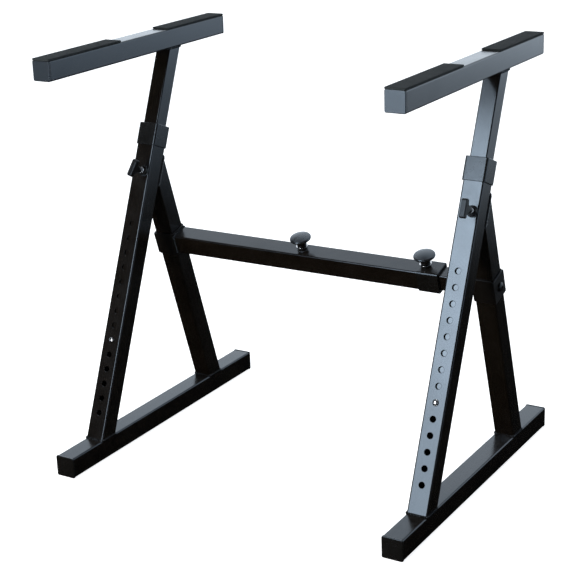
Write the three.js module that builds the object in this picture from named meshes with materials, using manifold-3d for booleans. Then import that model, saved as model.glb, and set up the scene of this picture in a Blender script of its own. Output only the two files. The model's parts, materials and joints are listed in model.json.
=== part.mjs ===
import * as THREE from 'three';
import { mergeVertices } from 'three/addons/utils/BufferGeometryUtils.js';
import Module from 'manifold-3d';

const wasm = await Module();
wasm.setup();

// Frame: origin on the floor midway between the two side frames and midway along the feet,
// +X to the right, +Y to the back, +Z up. Lengths in millimetres, angles in degrees.

// Driving dimensions
const frameSpacing = 606.9;
const tubeSide = 34.4;
const tubeWall = 1.5;
const tubeCorner = 2.7;
const mastSide = 28.3;
const mastCorner = 2.1;
const armSide = 32.4;
const footLength = 546;
const footCapSide = 35.6;
const uprightLean = 22.78;
const uprightFoot = 174.1;
const uprightLength = 535.7;
const braceLean = 17.45;
const braceFoot = 153;
const holeCount = 14;
const holesBelowTop = 171.6;
const holesAboveFoot = 39.1;
const countAboveButton = 8;
const armUnder = 657.3;
const armFront = 249;
const armRear = 236;
const padThickness = 3;
const padFrontLength = 185;
const padRearLength = 170;
const padCorner = 1.5;
const padEdge = 0.4;
const crossbarAt = 299.8;
const outerTubeShort = 60.25;
const innerTubeShort = 83.2;

// Clearances
const seatGap = 0.3;
const slideGap = 0.2;
const boltGap = 0.35;
const threadGap = 0.2;
const weldGap = 0.3;
const glueGap = 0.1;

// Caps and the collars at the mouths of the telescoping tubes
const capFlange = 4;
const capEdge = 0.7;
const capInsert = 14;
const capWall = 1.8;
const collarSide = 38.2;
const collarCorner = 3.8;
const collarLip = 3;
const collarLength = 37.3;
const linerWall = 1.15;
const linerLength = 22;
const bushingLiner = 14;
const glideSide = 30.8;
const glideFlange = 2;
const glideInsert = 4;
const innerGlideInsert = 12;

// Snap button and its spring
const holeRadius = 4.75;
const buttonRadius = 4.3;
const buttonProud = 3.2;
const buttonDome = 2;
const buttonBaseRadius = 6;
const buttonBase = 1.5;
const postBelowButton = 12.5;
const springWidth = 10;
const springGauge = 0.8;
const springReach = 42;
const springBend = 3;

// Screws
const screwRadius = 3.95;
const screwCoreShare = 0.92;
const clampBelowTop = 80.1;
const clampSide = 7;
const clampBossRadius = 8.2;
const clampBossHeight = 6.7;
const clampFlangeRadius = 5.4;
const clampFlangeLow = 8.4;
const clampFlangeHeight = 2.6;
const clampHubLow = 14;
const clampHubHeight = 14;
const clampHubRadius = 6;
const clampHubTopShare = 0.84;
const barLength = 30;
const barWidth = 10;
const barHeight = 9;
const barEdge = 1.6;
const screwInKnob = 12;
const clampTurnLeft = 15;

const middleKnobLeft = 30.5;
const endKnobInset = 24.5;
const bossRadius = 8;
const bossHeight = 5;
const washerRadius = 10;
const washerThickness = 1.6;
const washerAbove = 6.5;
const knobHubLow = 8.6;
const knobHubRadius = 8;
const knobHubHeight = 11.4;
const knobRadius = 18;
const knobRim = 5.2;
const knobCrown = 3;
const knobEdge = 1.8;

// Brackets that hold the crossbar to the braces
const bracketHeight = 42;
const bracketPlate = 2.5;
const plateCorner = 3;
const bracketHeadRadius = 7.5;
const bracketHeadHeight = 4.2;
const bracketHeadRim = 1.4;
const bracketSocketRadius = 2.9;
const bracketSocketDepth = 2.4;
const plugLength = 16;
const bracketBoltPast = 12;

// Fineness of the round shapes
const cornerSteps = 2;
const roundSteps = 18;
const holeSteps = 12;
const barSteps = 5;
const knobSteps = 24;
const socketSides = 6;
const cutRun = 6;
const cutBlock = 1600;
const weldDistance = 0.0001;

// Dependent dimensions
const degree = Math.PI / 180;
const quarter = Math.PI / 2;
const lean = uprightLean * degree;
const rake = braceLean * degree;
const half = tubeSide / 2;
const mastHalf = mastSide / 2;
const bore = tubeSide - 2 * tubeWall;
const mastBore = mastSide - 2 * tubeWall;
const footMiddle = footCapSide / 2;
const footTop = footMiddle + half;
const topHole = uprightLength - holesBelowTop;
const holePitch = (topHole - holesAboveFoot) / (holeCount - 1);
const buttonAt = topHole - countAboveButton * holePitch;
const clampAt = uprightLength - clampBelowTop;
const postLow = buttonAt - postBelowButton;
const postHigh = (armUnder - footTop) / Math.cos(lean);
const armHalf = armSide / 2;
const armTop = armUnder + armSide;
const tubeReach = half + seatGap;
const bracketReach = tubeReach + bracketPlate;
const crossbarEnd = frameSpacing / 2 - bracketReach - slideGap;
const outerTubeEnd = crossbarEnd - outerTubeShort;
const innerTubeStart = innerTubeShort - crossbarEnd;
const middleKnobX = -middleKnobLeft;
const endKnobX = outerTubeEnd - endKnobInset;
const screwTip = mastHalf + seatGap;
const screwHole = screwRadius + boltGap;
const threadBore = screwRadius + threadGap;
const screwCore = screwRadius * screwCoreShare;

const finishes = {
  coat: { color: 0x23272b, roughness: 0.42, metalness: 0.3 },
  bracket: { color: 0x1b1c1d, roughness: 0.6, metalness: 0.3 },
  plastic: { color: 0x23262a, roughness: 0.55, metalness: 0 },
  knob: { color: 0x1f2226, roughness: 0.38, metalness: 0 },
  chrome: { color: 0xd4d6d8, roughness: 0.16, metalness: 1 },
  steel: { color: 0x8d9094, roughness: 0.35, metalness: 1 },
  pad: { color: 0x3a3d3a, roughness: 0.9, metalness: 0 },
};

// Solids and boolean cuts

function toSolid(geometry) {
  const bare = geometry.index ? geometry.toNonIndexed() : geometry.clone();
  bare.deleteAttribute('normal');
  bare.deleteAttribute('uv');
  const merged = mergeVertices(bare, weldDistance);
  const corners = merged.index.array;
  const kept = [];
  for (let i = 0; i < corners.length; i += 3) {
    const [a, b, c] = [corners[i], corners[i + 1], corners[i + 2]];
    if (a !== b && b !== c && c !== a) kept.push(a, b, c);
  }
  return new wasm.Manifold(new wasm.Mesh({
    numProp: 3,
    vertProperties: new Float32Array(merged.attributes.position.array),
    triVerts: new Uint32Array(kept),
  }));
}

function toGeometry(solid) {
  const mesh = solid.getMesh();
  const geometry = new THREE.BufferGeometry();
  const points = new Float32Array(mesh.vertProperties);
  geometry.setAttribute('position', new THREE.BufferAttribute(points, 3));
  geometry.setIndex(new THREE.BufferAttribute(new Uint32Array(mesh.triVerts), 1));
  geometry.computeVertexNormals();
  return geometry;
}

// Outlines and basic shapes, each standing on its own origin and rising along +Z

function roundedPlate(width, length, corner) {
  const x = width / 2 - corner;
  const y = length / 2 - corner;
  const outline = new THREE.Shape();
  const centres = [[x, y], [-x, y], [-x, -y], [x, -y]];
  centres.forEach((centre, turn) => {
    outline.absarc(...centre, corner, turn * quarter, (turn + 1) * quarter);
  });
  outline.closePath();
  return outline;
}

function roundedSquare(side, corner) {
  return roundedPlate(side, side, corner);
}

function rise(outline, height, steps = cornerSteps) {
  const settings = { depth: height, bevelEnabled: false, curveSegments: steps };
  return new THREE.ExtrudeGeometry(outline, settings);
}

function softBlock(outline, height, edge, steps = cornerSteps) {
  const geometry = new THREE.ExtrudeGeometry(outline, {
    depth: height - 2 * edge,
    bevelEnabled: true,
    bevelSize: edge,
    bevelOffset: -edge,
    bevelThickness: edge,
    bevelSegments: 1,
    curveSegments: steps,
  });
  return geometry.translate(0, 0, edge);
}

function squareTube(side, corner, length) {
  const outline = roundedSquare(side, corner);
  outline.holes.push(roundedSquare(side - 2 * tubeWall, corner - tubeWall));
  return rise(outline, length);
}

function turned(profile, steps = roundSteps) {
  const points = profile.map(([r, z]) => new THREE.Vector2(r, z));
  return new THREE.LatheGeometry(points, steps).rotateX(quarter);
}

function rod(radius, low, high, steps = roundSteps) {
  return turned([[0, low], [radius, low], [radius, high], [0, high]], steps);
}

// A block that removes what lies more than an offset past a plane through (y, z)
function pastPlane(y, z, turn, offset) {
  const block = new THREE.BoxGeometry(cutBlock, cutBlock, cutBlock);
  block.translate(0, 0, cutBlock / 2 + offset).rotateX(turn).translate(0, y, z);
  return toSolid(block);
}

// Square plug with a soft-edged flange, open at its inner end
function plugCap(side, corner, insertSide, insertCorner, insertLength, flange) {
  const plate = toSolid(softBlock(roundedSquare(side, corner), flange, capEdge));
  const ring = roundedSquare(insertSide, insertCorner);
  ring.holes.push(roundedSquare(insertSide - 2 * capWall, capWall / 2));
  const insert = rise(ring, insertLength + flange / 2).translate(0, 0, flange / 2);
  return toGeometry(plate.add(toSolid(insert)));
}

const group = new THREE.Group();
group.name = 'z_keyboard_stand';

function place(parent, name, geometry, finish, position = [0, 0, 0], rotation = [0, 0, 0]) {
  const mesh = new THREE.Mesh(geometry, new THREE.MeshStandardMaterial(finishes[finish]));
  mesh.name = name;
  mesh.position.set(...position);
  mesh.rotation.set(...rotation);
  parent.add(mesh);
}

function branch(parent, position, rotation) {
  const child = new THREE.Group();
  child.position.set(...position);
  child.rotation.set(...rotation);
  parent.add(child);
  return child;
}

// Foot: a level tube with a cap in each end that touches the floor

function footTube() {
  return squareTube(tubeSide, tubeCorner, footLength - 2 * capFlange);
}

function footCap() {
  const insertSide = bore - 2 * slideGap;
  const insertCorner = tubeCorner - tubeWall;
  return plugCap(footCapSide, tubeCorner, insertSide, insertCorner, capInsert, capFlange);
}

function addFoot(frame, side) {
  const end = footLength / 2;
  const start = capFlange - end;
  place(frame, `${side}_foot_tube`, footTube(), 'coat', [0, start, footMiddle], [-quarter, 0, 0]);
  const cap = footCap();
  place(frame, `${side}_foot_cap_front`, cap, 'plastic', [0, -end, footMiddle], [-quarter, 0, 0]);
  place(frame, `${side}_foot_cap_rear`, cap, 'plastic', [0, end, footMiddle], [quarter, 0, 0]);
}

// Upright: leaning tube with a row of height holes, mitred onto the foot

function uprightTube() {
  const start = half * Math.tan(lean) + cutRun;
  const tube = toSolid(squareTube(tubeSide, tubeCorner, uprightLength + start).translate(0, 0, -start));
  let solid = tube.subtract(pastPlane(0, 0, lean + Math.PI, -weldGap));
  const through = rod(holeRadius, half - tubeWall - cutRun, half + cutRun, holeSteps).rotateX(quarter);
  for (let i = 0; i < holeCount; i += 1) {
    const at = topHole - i * holePitch;
    solid = solid.subtract(toSolid(through.clone().translate(0, 0, at)));
  }
  const screwWay = rod(screwHole, half - tubeWall - cutRun, half + cutRun, holeSteps).rotateX(quarter);
  return toGeometry(solid.subtract(toSolid(screwWay.translate(clampSide, 0, clampAt))));
}

// Brace: mitred onto the foot below and against the back of the upright above
function braceTube() {
  const start = half * Math.tan(rake) + cutRun;
  const length = uprightLength + start;
  const tube = toSolid(squareTube(tubeSide, tubeCorner, length).translate(0, 0, -start));
  const apart = -uprightFoot - braceFoot;
  const y = apart * Math.cos(rake);
  const z = -apart * Math.sin(rake);
  const foot = pastPlane(0, 0, Math.PI - rake, -weldGap);
  const back = pastPlane(y, z, quarter - lean - rake, -half - weldGap);
  const bolt = rod(screwHole, -half - cutRun, half + cutRun, holeSteps).rotateY(quarter);
  const way = toSolid(bolt.translate(0, 0, crossbarAt));
  return toGeometry(tube.subtract(foot).subtract(back).subtract(way));
}

// Collar: sleeve over a tube's mouth, a lip over its rim and a thin liner inside it
function mouthCollar(liner) {
  const sleeve = roundedSquare(collarSide, collarCorner);
  sleeve.holes.push(roundedSquare(mastSide + 2 * slideGap, mastCorner));
  const block = toSolid(rise(sleeve, collarLength));
  const roof = collarLength - collarLip + seatGap;
  const slotSide = tubeSide + 2 * slideGap;
  const slot = roundedSquare(slotSide, tubeCorner);
  slot.holes.push(roundedSquare(mastSide + 2 * slideGap + 2 * linerWall, tubeCorner - tubeWall));
  const around = toSolid(rise(slot, roof + cutRun).translate(0, 0, -cutRun));
  const under = collarLength - collarLip - liner;
  const lower = rise(roundedSquare(slotSide, tubeCorner), under + cutRun);
  const below = toSolid(lower.translate(0, 0, -cutRun));
  return toGeometry(block.subtract(around).subtract(below));
}

// Post: the mast that slides in the upright, mitred under the arm
function postTube() {
  const low = postLow + glideFlange + slideGap;
  const length = postHigh + half * Math.tan(lean) + cutRun - low;
  const tube = toSolid(squareTube(mastSide, mastCorner, length).translate(0, 0, low));
  const button = rod(holeRadius, mastHalf - tubeWall - cutRun, mastHalf + cutRun, holeSteps);
  const way = toSolid(button.rotateX(quarter).translate(0, 0, buttonAt));
  return toGeometry(tube.subtract(pastPlane(0, postHigh, lean, -weldGap)).subtract(way));
}

function glide(insert) {
  const insertSide = mastBore - 2 * slideGap;
  return plugCap(glideSide, mastCorner, insertSide, mastCorner - tubeWall, insert, glideFlange);
}

// Snap button: domed pin with a round base that stays inside the post
function snapButton() {
  const inside = mastHalf - tubeWall - slideGap;
  const crown = half + buttonProud;
  const profile = [[0, inside - buttonBase], [buttonBaseRadius, inside - buttonBase]];
  profile.push([buttonBaseRadius, inside], [buttonRadius, inside], [buttonRadius, crown - buttonDome]);
  for (const share of [0.3, 0.55, 0.8]) {
    const turn = share * quarter;
    const r = buttonRadius * Math.cos(turn);
    profile.push([r, crown - buttonDome + buttonDome * Math.sin(turn)]);
  }
  profile.push([0, crown]);
  return turned(profile).rotateX(quarter);
}

// Folded leaf spring: one leg behind the button, the other along the post's back wall
function snapSpring() {
  const front = -(mastHalf - tubeWall - slideGap - buttonBase - slideGap);
  const back = mastHalf - tubeWall - slideGap;
  const low = -buttonBaseRadius;
  const high = springReach;
  const outline = new THREE.Shape();
  outline.moveTo(front, low);
  outline.lineTo(-springBend, high);
  outline.absarc(0, high, springBend, Math.PI, 0, true);
  outline.lineTo(back, low);
  outline.lineTo(back - springGauge, low);
  outline.lineTo(springBend - springGauge, high);
  outline.absarc(0, high, springBend - springGauge, 0, Math.PI, false);
  outline.lineTo(front + springGauge, low);
  outline.closePath();
  const strip = rise(outline, springWidth).translate(0, 0, -springWidth / 2);
  return toGeometry(toSolid(strip.rotateX(quarter).rotateZ(quarter)));
}

// Height clamp: welded round nut, screw with a flange, and a bar-shaped grip

function weldedNut(radius, height) {
  const profile = [[threadBore, seatGap], [radius, seatGap], [radius, height + seatGap]];
  profile.push([threadBore, height + seatGap], [threadBore, seatGap]);
  return turned(profile);
}

function clampScrew() {
  const low = screwTip - half;
  const top = clampHubLow + screwInKnob;
  const flangeTop = clampFlangeLow + clampFlangeHeight;
  const profile = [[0, low], [screwCore, low], [screwRadius, low + screwRadius - screwCore]];
  profile.push([screwRadius, clampFlangeLow], [clampFlangeRadius, clampFlangeLow]);
  profile.push([clampFlangeRadius, flangeTop], [screwRadius, flangeTop], [screwRadius, top], [0, top]);
  return turned(profile);
}

function clampGrip() {
  const straight = (barLength - barWidth) / 2;
  const outline = new THREE.Shape();
  outline.absarc(straight, 0, barWidth / 2, -quarter, quarter);
  outline.absarc(-straight, 0, barWidth / 2, quarter, 3 * quarter);
  outline.closePath();
  const top = clampHubLow + clampHubHeight;
  const block = softBlock(outline, barHeight, barEdge, barSteps);
  const bar = toSolid(block.rotateZ(quarter).translate(0, 0, top));
  const narrow = clampHubRadius * clampHubTopShare;
  const buried = top + barEdge;
  const outside = [[clampHubRadius, clampHubLow], [narrow, top], [narrow, buried]];
  const hub = turned([[0, clampHubLow], ...outside, [0, buried]]);
  const socket = rod(threadBore, clampHubLow - cutRun, clampHubLow + screwInKnob + seatGap);
  return toGeometry(bar.add(toSolid(hub)).subtract(toSolid(socket)));
}

function addUpright(frame, side, turn) {
  const upright = branch(frame, [0, -uprightFoot, footTop], [-lean, 0, 0]);
  place(upright, `${side}_upright_tube`, uprightTube(), 'coat');
  const collarLow = uprightLength + collarLip - collarLength;
  place(upright, `${side}_upright_collar`, mouthCollar(linerLength), 'plastic', [0, 0, collarLow]);
  const clamp = branch(upright, [clampSide, -half, clampAt], [quarter, 0, 0]);
  place(clamp, `${side}_clamp_boss`, weldedNut(clampBossRadius, clampBossHeight), 'coat');
  place(clamp, `${side}_clamp_screw`, clampScrew(), 'chrome');
  place(clamp, `${side}_clamp_grip`, clampGrip(), 'knob', [0, 0, 0], [0, 0, turn]);
  place(upright, `${side}_post_tube`, postTube(), 'coat');
  place(upright, `${side}_post_glide`, glide(glideInsert), 'plastic', [0, 0, postLow]);
  place(upright, `${side}_snap_button`, snapButton(), 'chrome', [0, 0, buttonAt]);
  place(upright, `${side}_snap_spring`, snapSpring(), 'steel', [0, 0, buttonAt]);
}

// Arm: level tube on the post with end caps and two flat pads

function addArm(frame, side) {
  const length = armFront + armRear - 2 * capFlange;
  const middle = armUnder + armHalf;
  const insertSide = armSide - 2 * tubeWall - 2 * slideGap;
  const insertCorner = tubeCorner - tubeWall;
  const tube = squareTube(armSide, tubeCorner, length);
  const cap = plugCap(armSide, tubeCorner, insertSide, insertCorner, capInsert, capFlange);
  place(frame, `${side}_arm_tube`, tube, 'coat', [0, capFlange - armFront, middle], [-quarter, 0, 0]);
  place(frame, `${side}_arm_cap_front`, cap, 'plastic', [0, -armFront, middle], [-quarter, 0, 0]);
  place(frame, `${side}_arm_cap_rear`, cap, 'plastic', [0, armRear, middle], [quarter, 0, 0]);
  const pads = [['front', padFrontLength, padFrontLength / 2 - armFront]];
  pads.push(['rear', padRearLength, armRear - padRearLength / 2]);
  for (const [end, padLength, y] of pads) {
    const pad = softBlock(roundedPlate(armSide, padLength, padCorner), padThickness, padEdge);
    place(frame, `${side}_arm_pad_${end}`, pad, 'pad', [0, y, armTop + glueGap]);
  }
}

// Bracket: cradle round three faces of the brace, plate on the fourth, one bolt through both

function cradle() {
  const flat = half - tubeCorner;
  const inner = tubeCorner + seatGap;
  const outer = inner + bracketPlate;
  const outline = new THREE.Shape();
  outline.moveTo(-half, -bracketReach);
  outline.absarc(flat, -flat, outer, -quarter, 0);
  outline.absarc(flat, flat, outer, 0, quarter);
  outline.lineTo(-half, bracketReach);
  outline.lineTo(-half, tubeReach);
  outline.absarc(flat, flat, inner, quarter, 0, true);
  outline.absarc(flat, -flat, inner, 0, -quarter, true);
  outline.lineTo(-half, -tubeReach);
  outline.closePath();
  const bent = toSolid(rise(outline, bracketHeight).translate(0, 0, -bracketHeight / 2));
  const way = toSolid(rod(screwHole, 0, bracketReach + cutRun, holeSteps).rotateY(quarter));
  return toGeometry(bent.subtract(way));
}

function bracePlate() {
  const outline = roundedPlate(bracketHeight, 2 * bracketReach, plateCorner);
  const plate = toSolid(rise(outline, bracketPlate).translate(0, 0, tubeReach));
  const way = toSolid(rod(screwHole, 0, bracketReach + cutRun, holeSteps));
  return toGeometry(plate.subtract(way)).rotateY(-quarter);
}

// Cap screw with a domed head and a six-sided socket
function bracketBolt() {
  const seat = -bracketReach - slideGap;
  const crown = seat - bracketHeadHeight;
  const tip = bracketReach + bracketBoltPast;
  const profile = [[0, crown]];
  for (const share of [0.35, 0.6, 0.8, 1]) {
    const sag = (bracketHeadHeight - bracketHeadRim) * (1 - Math.sqrt(1 - share * share));
    profile.push([bracketHeadRadius * share, crown + sag]);
  }
  profile.push([bracketHeadRadius, seat]);
  profile.push([screwRadius, seat]);
  profile.push([screwRadius, tip - screwRadius + screwCore]);
  profile.push([screwCore, tip]);
  profile.push([0, tip]);
  const bolt = toSolid(turned(profile));
  const deep = crown + bracketSocketDepth;
  const socket = rod(bracketSocketRadius, crown - cutRun, deep, socketSides);
  return toGeometry(bolt.subtract(toSolid(socket))).rotateY(quarter);
}

function tubePlug(side, corner) {
  const outline = roundedSquare(side - 2 * slideGap, corner);
  const block = toSolid(rise(outline, plugLength).translate(0, 0, bracketReach + slideGap));
  const way = toSolid(rod(threadBore, 0, bracketReach + plugLength + cutRun, holeSteps));
  return toGeometry(block.subtract(way)).rotateY(quarter);
}

function addBrace(frame, side, facing, plugSide, plugCorner) {
  const brace = branch(frame, [0, braceFoot, footTop], [rake, 0, 0]);
  place(brace, `${side}_brace_tube`, braceTube(), 'coat');
  const joint = branch(brace, [0, 0, crossbarAt], [0, 0, facing]);
  place(joint, `${side}_bracket_cradle`, cradle(), 'bracket');
  place(joint, `${side}_bracket_plate`, bracePlate(), 'bracket');
  place(joint, `${side}_bracket_bolt`, bracketBolt(), 'bracket');
  place(joint, `${side}_bracket_plug`, tubePlug(plugSide, plugCorner), 'steel');
}

// Crossbar: two telescoping tubes locked by two screws with round knobs

function outerTube() {
  const length = outerTubeEnd + crossbarEnd;
  const tube = squareTube(tubeSide, tubeCorner, length).rotateY(quarter);
  let solid = toSolid(tube.translate(-crossbarEnd, 0, 0));
  for (const x of [middleKnobX, endKnobX]) {
    const way = rod(screwHole, half - tubeWall - cutRun, half + cutRun, holeSteps);
    solid = solid.subtract(toSolid(way.translate(x, 0, 0)));
  }
  return toGeometry(solid);
}

function innerTube() {
  const length = crossbarEnd - innerTubeStart;
  const tube = squareTube(mastSide, mastCorner, length).rotateY(quarter);
  return tube.translate(innerTubeStart, 0, 0);
}

// The outer tube's collar, with a notch that lets it slide on past the end lock's nut
function crossbarCollar() {
  const low = outerTubeEnd + collarLip - collarLength;
  const collar = toSolid(mouthCollar(bushingLiner).rotateY(quarter).translate(low, 0, 0));
  const notchRadius = bossRadius + boltGap;
  const round = toSolid(rod(notchRadius, half, half + cutRun).translate(endKnobX, 0, 0));
  const run = endKnobX - low + cutRun;
  const lane = new THREE.BoxGeometry(run, 2 * notchRadius, cutRun);
  const straight = toSolid(lane.translate(endKnobX - run / 2, 0, half + cutRun / 2));
  return toGeometry(collar.subtract(round).subtract(straight));
}

function lockScrew() {
  const low = screwTip - half;
  const top = knobHubLow + screwInKnob;
  const profile = [[0, low], [screwCore, low], [screwRadius, low + screwRadius - screwCore]];
  profile.push([screwRadius, top], [0, top]);
  return turned(profile);
}

function lockWasher() {
  const top = washerAbove + washerThickness;
  const profile = [[threadBore, washerAbove], [washerRadius, washerAbove], [washerRadius, top]];
  profile.push([threadBore, top], [threadBore, washerAbove]);
  return turned(profile);
}

// Round knob: narrow hub, flat head with a soft rim and a slight crown, blind hole below
function lockKnob() {
  const socketTop = knobHubLow + screwInKnob + seatGap;
  const headLow = knobHubLow + knobHubHeight;
  const headHigh = headLow + knobRim;
  const profile = [[0, socketTop], [threadBore, socketTop], [threadBore, knobHubLow]];
  profile.push([knobHubRadius - knobEdge / 2, knobHubLow], [knobHubRadius, knobHubLow + knobEdge / 2]);
  profile.push([knobHubRadius, headLow - knobEdge], [knobHubRadius + knobEdge, headLow]);
  profile.push([knobRadius - knobEdge, headLow], [knobRadius - knobEdge / 4, headLow + knobEdge / 2]);
  profile.push([knobRadius, headLow + knobEdge], [knobRadius, headHigh - knobEdge]);
  profile.push([knobRadius - knobEdge / 4, headHigh - knobEdge / 3], [knobRadius - knobEdge, headHigh]);
  profile.push([knobRadius / 2, headHigh + knobCrown * 3 / 4], [0, headHigh + knobCrown]);
  return turned(profile, knobSteps);
}

function addCrossbar() {
  const y = braceFoot - crossbarAt * Math.sin(rake);
  const z = footTop + crossbarAt * Math.cos(rake);
  const bar = branch(group, [0, y, z], [rake, 0, 0]);
  place(bar, 'crossbar_outer_tube', outerTube(), 'coat');
  place(bar, 'crossbar_inner_tube', innerTube(), 'coat');
  place(bar, 'crossbar_bushing', crossbarCollar(), 'plastic');
  const plugX = innerTubeStart - glideFlange - slideGap;
  place(bar, 'crossbar_glide', glide(innerGlideInsert), 'plastic', [plugX, 0, 0], [0, quarter, 0]);
  for (const [name, x] of [['middle', middleKnobX], ['end', endKnobX]]) {
    const lock = branch(bar, [x, 0, half], [0, 0, 0]);
    place(lock, `${name}_lock_boss`, weldedNut(bossRadius, bossHeight), 'coat');
    place(lock, `${name}_lock_screw`, lockScrew(), 'chrome');
    place(lock, `${name}_lock_washer`, lockWasher(), 'chrome');
    place(lock, `${name}_lock_knob`, lockKnob(), 'knob');
  }
}

function addFrame(side, x, facing, grip, plugSide, plugCorner) {
  const frame = branch(group, [x, 0, 0], [0, 0, 0]);
  addFoot(frame, side);
  addUpright(frame, side, grip);
  addBrace(frame, side, facing, plugSide, plugCorner);
  addArm(frame, side);
}

addFrame('left', -frameSpacing / 2, 0, -clampTurnLeft * degree, bore, tubeCorner - tubeWall);
addFrame('right', frameSpacing / 2, Math.PI, 0, mastBore, mastCorner - tubeWall);
addCrossbar();

export default group;
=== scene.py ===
import json
import math

import bmesh
import bpy
from mathutils import Matrix, Vector


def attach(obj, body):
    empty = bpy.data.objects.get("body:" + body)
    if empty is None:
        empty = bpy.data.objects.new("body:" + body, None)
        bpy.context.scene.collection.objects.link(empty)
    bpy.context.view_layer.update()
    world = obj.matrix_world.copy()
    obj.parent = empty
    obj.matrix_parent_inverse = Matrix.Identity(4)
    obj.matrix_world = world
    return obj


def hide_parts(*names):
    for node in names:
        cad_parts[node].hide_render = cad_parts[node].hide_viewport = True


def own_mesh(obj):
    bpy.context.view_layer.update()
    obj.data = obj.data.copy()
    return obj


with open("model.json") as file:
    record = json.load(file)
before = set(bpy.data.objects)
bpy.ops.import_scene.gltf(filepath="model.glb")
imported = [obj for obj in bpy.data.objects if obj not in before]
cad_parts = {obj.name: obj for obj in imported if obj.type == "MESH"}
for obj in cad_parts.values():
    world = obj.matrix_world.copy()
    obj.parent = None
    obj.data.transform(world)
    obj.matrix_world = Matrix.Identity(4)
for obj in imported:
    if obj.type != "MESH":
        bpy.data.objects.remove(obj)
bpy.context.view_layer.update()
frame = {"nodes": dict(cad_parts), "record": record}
print("frame loaded")

# The stand's main sizes in metres and angles in radians, as in the CAD frame
stand = {
    "frameX": 0.30345,
    "tubeSide": 0.0344,
    "tubeCorner": 0.0027,
    "tubeWall": 0.0015,
    "mastSide": 0.0283,
    "mastCorner": 0.0021,
    "armSide": 0.0324,
    "footLength": 0.546,
    "footCapSide": 0.0356,
    "footTop": 0.035,
    "uprightFootY": -0.1741,
    "uprightLean": math.radians(22.78),
    "uprightLength": 0.5357,
    "braceFootY": 0.153,
    "braceLean": math.radians(17.45),
    "armUnder": 0.6573,
    "armFront": -0.249,
    "armRear": 0.236,
    "capFlange": 0.004,
    "crossbarAt": 0.2998,
    "crossbarEnd": 0.28325,
    "outerTubeEnd": 0.223,
    "innerTubeStart": -0.20005,
    "screwHole": 0.0043,
    "overrun": 0.006,  # how far a cutter reaches past what it cuts
}
half = stand["tubeSide"] / 2
frameTube = (stand["tubeSide"], stand["tubeCorner"])
mastTube = (stand["mastSide"], stand["mastCorner"])
sides = {"left": -1, "right": 1}
up = Vector((0, 0, 1))
quarter = math.pi / 2


def turnAbout(axis, angle):
    return Matrix.Rotation(angle, 4, axis)


def moveBy(x, y, z):
    return Matrix.Translation((x, y, z))


def uprightSpace(side):
    foot = moveBy(sides[side] * stand["frameX"], stand["uprightFootY"], stand["footTop"])
    return foot @ turnAbout("X", -stand["uprightLean"])


def braceSpace(side):
    foot = moveBy(sides[side] * stand["frameX"], stand["braceFootY"], stand["footTop"])
    return foot @ turnAbout("X", stand["braceLean"])


def bracketSpace(side):
    facing = turnAbout("Z", math.pi if side == "right" else 0)
    return braceSpace(side) @ moveBy(0, 0, stand["crossbarAt"]) @ facing


def clampSpace(side):
    return uprightSpace(side) @ moveBy(clamp["aside"], -half, clamp["along"]) @ turnAbout("X", quarter)


def barSpace():
    lean, along = stand["braceLean"], stand["crossbarAt"]
    y = stand["braceFootY"] - along * math.sin(lean)
    z = stand["footTop"] + along * math.cos(lean)
    return moveBy(0, y, z) @ turnAbout("X", lean)


# Node trees: a socket is joined to another node's socket or set to a value

def newTree(name, kind, inputs, outputs):
    tree = bpy.data.node_groups.new(name, kind + "NodeTree")
    for way, sockets in (("INPUT", inputs), ("OUTPUT", outputs)):
        for label, value in sockets.items():
            tree.interface.new_socket(name=label, in_out=way, socket_type="NodeSocket" + value)
    return tree, tree.nodes.new("NodeGroupInput").outputs, tree.nodes.new("NodeGroupOutput").inputs


def feed(tree, value, socket):
    if isinstance(value, bpy.types.NodeSocket):
        tree.links.new(value, socket)
    else:
        socket.default_value = value


def addNode(tree, kind, *inputs, **named):
    # Inputs come in their order, or by name with _ for a space; any other name is a setting of the node
    node = tree.nodes.new(kind)
    for key, value in named.items():
        label = key.replace("_", " ")
        if label in node.inputs:
            feed(tree, value, node.inputs[label])
        else:
            setattr(node, key, value)
    for value, socket in zip(inputs, node.inputs):
        feed(tree, value, socket)
    return node


def maths(tree, operation, *inputs, **named):
    return addNode(tree, "ShaderNodeMath", *inputs, operation=operation, **named).outputs[0]


def remap(tree, value, low, high, fromLow=0.0, fromHigh=1.0):
    return addNode(tree, "ShaderNodeMapRange", value, fromLow, fromHigh, low, high, clamp=True).outputs[0]


def mixColor(tree, mask, first, second):
    mix = addNode(tree, "ShaderNodeMix", mask, data_type="RGBA")
    for value, socket in zip((first, second), mix.inputs[6:8]):
        feed(tree, (*value, 1) if isinstance(value, tuple) else value, socket)
    return mix.outputs[2]


# Materials: shared effects first

effects = {"reliefDepth": 0.0002, "mottleSpan": (0.3, 0.7), "edgeBend": (0.995, 0.9), "chips": (0.42, 0.62),
           "facingUp": (0.55, 1.0), "dustPatches": (0.35, 0.75)}


def makeGrainGroup():
    # Fine surface relief in two sizes, and a soft mask that varies over the piece
    inputs = {f"{relief} {size}": "Float" for relief in ("Grain", "Ripple") for size in ("Size", "Height")}
    group, given, leave = newTree("surfaceGrain", "Shader", inputs, {"Normal": "Vector", "Mottle": "Float"})
    place = addNode(group, "ShaderNodeTexCoord").outputs["Object"]
    below = {}
    for relief in ("Grain", "Ripple"):
        scale = maths(group, "DIVIDE", 1, given[relief + " Size"])
        noise = addNode(group, "ShaderNodeTexNoise", Vector=place, Scale=scale, Detail=2.0)
        bump = addNode(group, "ShaderNodeBump", Strength=given[relief + " Height"],
                       Distance=effects["reliefDepth"], Height=noise.outputs["Fac"], **below)
        below = {"Normal": bump.outputs["Normal"]}
    mottle = addNode(group, "ShaderNodeTexNoise", Vector=place, Scale=22.0, Detail=4.0, Roughness=0.6)
    feed(group, mottle.outputs["Fac"], leave["Mottle"])
    feed(group, below["Normal"], leave["Normal"])
    return group


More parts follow.
